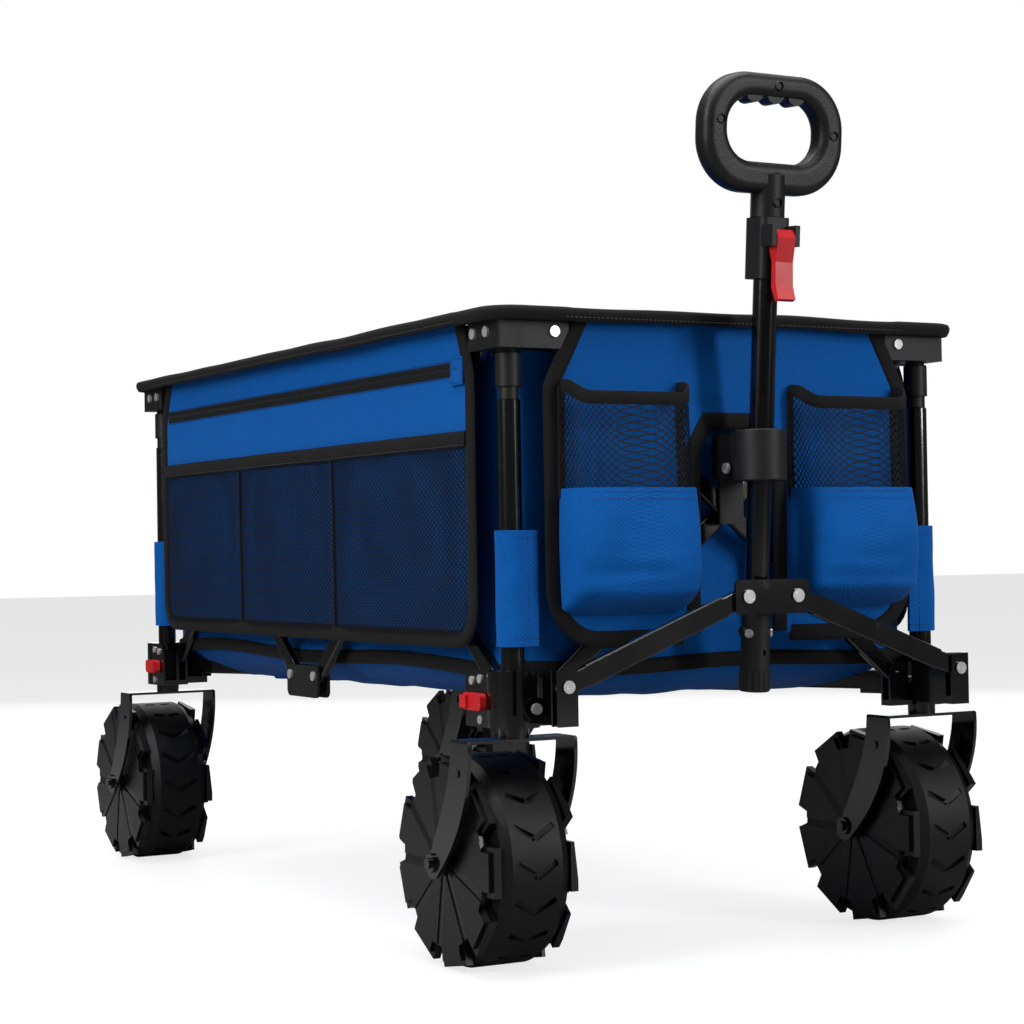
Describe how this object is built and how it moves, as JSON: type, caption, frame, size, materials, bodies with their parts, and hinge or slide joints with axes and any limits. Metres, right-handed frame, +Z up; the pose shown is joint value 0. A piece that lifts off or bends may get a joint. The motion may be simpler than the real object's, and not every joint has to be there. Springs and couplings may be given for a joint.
{
  "type": "folding beach cart",
  "caption": "Folding utility cart with a scissor frame, swivel caster wheels, a telescoping handle and an open fabric bag with pockets.",
  "frame": {"origin": "on the ground under the middle of the cart's bounding box", "axes": "+X towards the handle end, +Y the cart's left, +Z up"},
  "size_m": [1.2004, 0.608, 0.8404],
  "materials": {
    "frame_black": "gloss powder coat",
    "cap_plastic": "matte moulded",
    "hub_plastic": "satin moulded",
    "tread_rubber": "matte rubber",
    "red_plastic": "satin moulded",
    "bag_blue": "woven polyester",
    "bag_binding": "woven binding tape",
    "rivet_steel": "bright rivets",
    "mesh_black": "open net"
  },
  "bodies": {
    "frame_centre": {"column_collar": "cap_plastic", "bag_tub": "bag_blue", "bag_rim": "bag_binding", "front_pocket_panel": "bag_blue", "side_pocket_panels": "bag_blue"},
    "handle_column": {"column_tube": "frame_black", "column_socket": "cap_plastic", "column_end_cap": "cap_plastic", "brace_plate": "frame_black", "clamp_housing": "cap_plastic"},
    "clamp_lever": {"clamp_lever": "red_plastic"},
    "handle": {"handle_tube": "frame_black", "handle_grip": "cap_plastic"},
    "floor_hub": {"floor_hub": "cap_plastic"},
    "knuckle_top_right": {"knuckle_top_right": "cap_plastic"},
    "knuckle_bottom_right": {"knuckle_bottom_right": "cap_plastic"},
    "brace_right": {"brace_right": "frame_black"},
    "post_front_right": {"post_front_right": "frame_black"},
    "cap_front_right": {"cap_front_right": "cap_plastic"},
    "fork_front_right": {"fork_front_right": "frame_black"},
    "lock_button_front_right": {"lock_button_front_right": "red_plastic"},
    "side_bar_rising_front_right": {"side_bar_rising_front_right": "frame_black"},
    "side_bar_falling_front_right": {"side_bar_falling_front_right": "frame_black"},
    "floor_link_front_right": {"floor_link_front_right": "frame_black"},
    "wheel_front_right": {"wheel_hub_front_right": "hub_plastic", "tyre_front_right": "tread_rubber"},
    "front_bar_low_right": {"front_bar_low_right": "frame_black"},
    "post_rear_right": {"post_rear_right": "frame_black"},
    "cap_rear_right": {"cap_rear_right": "cap_plastic"},
    "fork_rear_right": {"fork_rear_right": "frame_black"},
    "lock_button_rear_right": {"lock_button_rear_right": "red_plastic"},
    "side_bar_rising_rear_right": {"side_bar_rising_rear_right": "frame_black"},
    "side_bar_falling_rear_right": {"side_bar_falling_rear_right": "frame_black"},
    "floor_link_rear_right": {"floor_link_rear_right": "frame_black"},
    "wheel_rear_right": {"wheel_hub_rear_right": "hub_plastic", "tyre_rear_right": "tread_rubber"},
    "rear_bar_low_right": {"rear_bar_low_right": "frame_black"},
    "knuckle_top_left": {"knuckle_top_left": "cap_plastic"},
    "knuckle_bottom_left": {"knuckle_bottom_left": "cap_plastic"},
    "brace_left": {"brace_left": "frame_black"},
    "post_front_left": {"post_front_left": "frame_black"},
    "cap_front_left": {"cap_front_left": "cap_plastic"},
    "fork_front_left": {"fork_front_left": "frame_black"},
    "lock_button_front_left": {"lock_button_front_left": "red_plastic"},
    "side_bar_rising_front_left": {"side_bar_rising_front_left": "frame_black"},
    "side_bar_falling_front_left": {"side_bar_falling_front_left": "frame_black"},
    "floor_link_front_left": {"floor_link_front_left": "frame_black"},
    "wheel_front_left": {"wheel_hub_front_left": "hub_plastic", "tyre_front_left": "tread_rubber"},
    "front_bar_low_left": {"front_bar_low_left": "frame_black"},
    "post_rear_left": {"post_rear_left": "frame_black"},
    "cap_rear_left": {"cap_rear_left": "cap_plastic"},
    "fork_rear_left": {"fork_rear_left": "frame_black"},
    "lock_button_rear_left": {"lock_button_rear_left": "red_plastic"},
    "side_bar_rising_rear_left": {"side_bar_rising_rear_left": "frame_black"},
    "side_bar_falling_rear_left": {"side_bar_falling_rear_left": "frame_black"},
    "floor_link_rear_left": {"floor_link_rear_left": "frame_black"},
    "wheel_rear_left": {"wheel_hub_rear_left": "hub_plastic", "tyre_rear_left": "tread_rubber"},
    "rear_bar_low_left": {"rear_bar_low_left": "frame_black"}
  },
  "joints": [
    {"name": "fold", "type": "hinge", "parent": "frame_centre", "child": "front_bar_low_left", "pos_m": [0.4876, 0, 0.427], "axis": [-1, 0, 0], "range_deg": [0, 39], "deforming": ["bag_tub", "bag_rim", "front_pocket_panel", "side_pocket_panels"]},
    {"name": "fold_front_right_bar", "type": "hinge", "parent": "frame_centre", "child": "front_bar_low_right", "pos_m": [0.4876, 0, 0.427], "axis": [-1, 0, 0], "range_deg": [-39.01, 0]},
    {"name": "front_left_post_foot", "type": "hinge", "parent": "front_bar_low_left", "child": "post_front_left", "pos_m": [0.4876, 0.2015, 0.258], "axis": [-1, 0, 0], "range_deg": [-39.01, 0]},
    {"name": "front_right_post_foot", "type": "hinge", "parent": "front_bar_low_right", "child": "post_front_right", "pos_m": [0.4876, -0.2015, 0.258], "axis": [-1, 0, 0], "range_deg": [0, 39.01]},
    {"name": "front_right_cap_pivot", "type": "hinge", "parent": "front_bar_low_left", "child": "cap_front_right", "pos_m": [0.4876, -0.2015, 0.596], "axis": [-1, 0, 0], "range_deg": [-39.01, 0]},
    {"name": "front_left_cap_pivot", "type": "hinge", "parent": "front_bar_low_right", "child": "cap_front_left", "pos_m": [0.4876, 0.2015, 0.596], "axis": [-1, 0, 0], "range_deg": [0, 39.01]},
    {"name": "side_rising_front_right_foot", "type": "hinge", "parent": "post_front_right", "child": "side_bar_rising_front_right", "pos_m": [0.4576, -0.2354, 0.258], "axis": [0, 1, 0], "range_deg": [0, 39.01]},
    {"name": "knuckle_top_right_front_pin", "type": "hinge", "parent": "side_bar_rising_front_right", "child": "knuckle_top_right", "pos_m": [0.0546, -0.2354, 0.596], "axis": [0, 1, 0], "range_deg": [-39.01, 0]},
    {"name": "knuckle_top_right_rear_pin", "type": "hinge", "parent": "knuckle_top_right", "child": "side_bar_rising_rear_right", "pos_m": [-0.0094, -0.2354, 0.596], "axis": [0, 1, 0], "range_deg": [-39.01, 0]},
    {"name": "rear_right_post_foot", "type": "hinge", "parent": "side_bar_rising_rear_right", "child": "post_rear_right", "pos_m": [-0.4124, -0.2354, 0.258], "axis": [0, 1, 0], "range_deg": [0, 39.01]},
    {"name": "side_cross_front_right", "type": "hinge", "parent": "side_bar_rising_front_right", "child": "side_bar_falling_front_right", "pos_m": [0.2561, -0.2446, 0.427], "axis": [0, 1, 0], "range_deg": [-78.01, 0]},
    {"name": "knuckle_bottom_right_pin", "type": "hinge", "parent": "side_bar_falling_front_right", "child": "knuckle_bottom_right", "pos_m": [0.0546, -0.2446, 0.258], "axis": [0, 1, 0], "range_deg": [0, 39.01]},
    {"name": "side_cross_rear_right", "type": "hinge", "parent": "side_bar_rising_rear_right", "child": "side_bar_falling_rear_right", "pos_m": [-0.2109, -0.2446, 0.427], "axis": [0, 1, 0], "range_deg": [0, 78.01]},
    {"name": "rear_right_cap_pivot", "type": "hinge", "parent": "side_bar_falling_rear_right", "child": "cap_rear_right", "pos_m": [-0.4124, -0.2446, 0.596], "axis": [0, 1, 0], "range_deg": [-39.01, 0]},
    {"name": "side_rising_front_left_foot", "type": "hinge", "parent": "post_front_left", "child": "side_bar_rising_front_left", "pos_m": [0.4576, 0.2354, 0.258], "axis": [0, 1, 0], "range_deg": [0, 39.01]},
    {"name": "knuckle_top_left_front_pin", "type": "hinge", "parent": "side_bar_rising_front_left", "child": "knuckle_top_left", "pos_m": [0.0546, 0.2354, 0.596], "axis": [0, 1, 0], "range_deg": [-39.01, 0]},
    {"name": "knuckle_top_left_rear_pin", "type": "hinge", "parent": "knuckle_top_left", "child": "side_bar_rising_rear_left", "pos_m": [-0.0094, 0.2354, 0.596], "axis": [0, 1, 0], "range_deg": [-39.01, 0]},
    {"name": "rear_left_post_foot", "type": "hinge", "parent": "side_bar_rising_rear_left", "child": "post_rear_left", "pos_m": [-0.4124, 0.2354, 0.258], "axis": [0, 1, 0], "range_deg": [0, 39.01]},
    {"name": "side_cross_front_left", "type": "hinge", "parent": "side_bar_rising_front_left", "child": "side_bar_falling_front_left", "pos_m": [0.2561, 0.2446, 0.427], "axis": [0, 1, 0], "range_deg": [-78.01, 0]},
    {"name": "knuckle_bottom_left_pin", "type": "hinge", "parent": "side_bar_falling_front_left", "child": "knuckle_bottom_left", "pos_m": [0.0546, 0.2446, 0.258], "axis": [0, 1, 0], "range_deg": [0, 39.01]},
    {"name": "side_cross_rear_left", "type": "hinge", "parent": "side_bar_rising_rear_left", "child": "side_bar_falling_rear_left", "pos_m": [-0.2109, 0.2446, 0.427], "axis": [0, 1, 0], "range_deg": [0, 78.01]},
    {"name": "rear_left_cap_pivot", "type": "hinge", "parent": "side_bar_falling_rear_left", "child": "cap_rear_left", "pos_m": [-0.4124, 0.2446, 0.596], "axis": [0, 1, 0], "range_deg": [-39.01, 0]},
    {"name": "rear_left_bar_foot", "type": "hinge", "parent": "post_rear_left", "child": "rear_bar_low_left", "pos_m": [-0.4424, 0.2015, 0.258], "axis": [-1, 0, 0], "range_deg": [0, 39.01]},
    {"name": "rear_cross", "type": "hinge", "parent": "rear_bar_low_left", "child": "rear_bar_low_right", "pos_m": [-0.4424, 0, 0.427], "axis": [-1, 0, 0], "range_deg": [-78.01, 0]},
    {"name": "brace_right_foot", "type": "hinge", "parent": "post_front_right", "child": "brace_right", "pos_m": [0.5596, -0.2264, 0.268], "axis": [-1, 0, 0], "range_deg": [-56.06, 0]},
    {"name": "brace_left_foot", "type": "hinge", "parent": "post_front_left", "child": "brace_left", "pos_m": [0.5596, 0.2264, 0.268], "axis": [-1, 0, 0], "range_deg": [0, 56.06]},
    {"name": "column_slide", "type": "slide", "parent": "frame_centre", "child": "handle_column", "axis": [0.0785, 0, 0.9969], "range_m": [0, 0.04125]},
    {"name": "floor_link_front_right_pin", "type": "hinge", "parent": "post_front_right", "child": "floor_link_front_right", "pos_m": [0.44349, -0.21044, 0.25], "axis": [0.4472, 0.8944, 0], "range_deg": [0, 82.57]},
    {"name": "floor_link_front_left_pin", "type": "hinge", "parent": "post_front_left", "child": "floor_link_front_left", "pos_m": [0.44349, 0.21044, 0.25], "axis": [-0.4472, 0.8944, 0], "range_deg": [0, 82.57]},
    {"name": "floor_link_rear_right_pin", "type": "hinge", "parent": "post_rear_right", "child": "floor_link_rear_right", "pos_m": [-0.39829, -0.21044, 0.25], "axis": [0.4472, -0.8944, 0], "range_deg": [0, 82.57]},
    {"name": "floor_link_rear_left_pin", "type": "hinge", "parent": "post_rear_left", "child": "floor_link_rear_left", "pos_m": [-0.39829, 0.21044, 0.25], "axis": [-0.4472, -0.8944, 0], "range_deg": [0, 82.57]},
    {"name": "floor_hub_lift", "type": "slide", "parent": "frame_centre", "child": "floor_hub", "axis": [0.7146, 0, 0.6995], "range_m": [0, 0.42345]},
    {"name": "swivel_front_right", "type": "hinge", "parent": "post_front_right", "child": "fork_front_right", "pos_m": [0.4876, -0.24, 0.222], "axis": [0, 0, 1], "continuous": true},
    {"name": "spin_front_right", "type": "hinge", "parent": "fork_front_right", "child": "wheel_front_right", "pos_m": [0.4296, -0.24, 0.1], "axis": [0, 1, 0], "continuous": true},
    {"name": "lock_slide_front_right", "type": "slide", "parent": "post_front_right", "child": "lock_button_front_right", "axis": [1, 0, 0], "range_m": [0, 0.006]},
    {"name": "swivel_front_left", "type": "hinge", "parent": "post_front_left", "child": "fork_front_left", "pos_m": [0.4876, 0.24, 0.222], "axis": [0, 0, 1], "continuous": true},
    {"name": "spin_front_left", "type": "hinge", "parent": "fork_front_left", "child": "wheel_front_left", "pos_m": [0.4296, 0.24, 0.1], "axis": [0, 1, 0], "continuous": true},
    {"name": "lock_slide_front_left", "type": "slide", "parent": "post_front_left", "child": "lock_button_front_left", "axis": [1, 0, 0], "range_m": [0, 0.006]},
    {"name": "swivel_rear_right", "type": "hinge", "parent": "post_rear_right", "child": "fork_rear_right", "pos_m": [-0.4424, -0.24, 0.222], "axis": [0, 0, 1], "continuous": true},
    {"name": "spin_rear_right", "type": "hinge", "parent": "fork_rear_right", "child": "wheel_rear_right", "pos_m": [-0.5004, -0.24, 0.1], "axis": [0, 1, 0], "continuous": true},
    {"name": "lock_slide_rear_right", "type": "slide", "parent": "post_rear_right", "child": "lock_button_rear_right", "axis": [-1, 0, 0], "range_m": [0, 0.006]},
    {"name": "swivel_rear_left", "type": "hinge", "parent": "post_rear_left", "child": "fork_rear_left", "pos_m": [-0.4424, 0.24, 0.222], "axis": [0, 0, 1], "continuous": true},
    {"name": "spin_rear_left", "type": "hinge", "parent": "fork_rear_left", "child": "wheel_rear_left", "pos_m": [-0.5004, 0.24, 0.1], "axis": [0, 1, 0], "continuous": true},
    {"name": "lock_slide_rear_left", "type": "slide", "parent": "post_rear_left", "child": "lock_button_rear_left", "axis": [-1, 0, 0], "range_m": [0, 0.006]},
    {"name": "handle_slide", "type": "slide", "parent": "handle_column", "child": "handle", "axis": [0.0785, 0, 0.9969], "range_m": [0, 0.3]},
    {"name": "lever_hinge", "type": "hinge", "parent": "handle_column", "child": "clamp_lever", "pos_m": [0.59064, 0, 0.68506], "axis": [0, -1, 0], "range_deg": [0, 95]}
  ],
  "couplings": [
    {"joint": "fold_front_right_bar", "follows": "fold", "ratio": -1},
    {"joint": "front_left_post_foot", "follows": "fold", "ratio": -1},
    {"joint": "front_right_post_foot", "follows": "fold", "ratio": 1},
    {"joint": "front_right_cap_pivot", "follows": "fold", "ratio": -1},
    {"joint": "front_left_cap_pivot", "follows": "fold", "ratio": 1},
    {"joint": "side_rising_front_right_foot", "follows": "fold", "ratio": 1},
    {"joint": "knuckle_top_right_front_pin", "follows": "fold", "ratio": -1},
    {"joint": "knuckle_top_right_rear_pin", "follows": "fold", "ratio": -1},
    {"joint": "rear_right_post_foot", "follows": "fold", "ratio": 1},
    {"joint": "side_cross_front_right", "follows": "fold", "ratio": -2},
    {"joint": "knuckle_bottom_right_pin", "follows": "fold", "ratio": 1},
    {"joint": "side_cross_rear_right", "follows": "fold", "ratio": 2},
    {"joint": "rear_right_cap_pivot", "follows": "fold", "ratio": -1},
    {"joint": "side_rising_front_left_foot", "follows": "fold", "ratio": 1},
    {"joint": "knuckle_top_left_front_pin", "follows": "fold", "ratio": -1},
    {"joint": "knuckle_top_left_rear_pin", "follows": "fold", "ratio": -1},
    {"joint": "rear_left_post_foot", "follows": "fold", "ratio": 1},
    {"joint": "side_cross_front_left", "follows": "fold", "ratio": -2},
    {"joint": "knuckle_bottom_left_pin", "follows": "fold", "ratio": 1},
    {"joint": "side_cross_rear_left", "follows": "fold", "ratio": 2},
    {"joint": "rear_left_cap_pivot", "follows": "fold", "ratio": -1},
    {"joint": "rear_left_bar_foot", "follows": "fold", "ratio": 1},
    {"joint": "rear_cross", "follows": "fold", "ratio": -2},
    {"joint": "brace_right_foot", "follows": "fold", "ratio": -1.4372},
    {"joint": "brace_left_foot", "follows": "fold", "ratio": 1.4372},
    {"joint": "column_slide", "follows": "fold", "m_per_rad": 0.060452},
    {"joint": "floor_link_front_right_pin", "follows": "fold", "ratio": 2.1168},
    {"joint": "floor_link_front_left_pin", "follows": "fold", "ratio": 2.1168},
    {"joint": "floor_link_rear_right_pin", "follows": "fold", "ratio": 2.1168},
    {"joint": "floor_link_rear_left_pin", "follows": "fold", "ratio": 2.1168},
    {"joint": "floor_hub_lift", "follows": "fold", "m_per_rad": 0.62195}
  ]
}
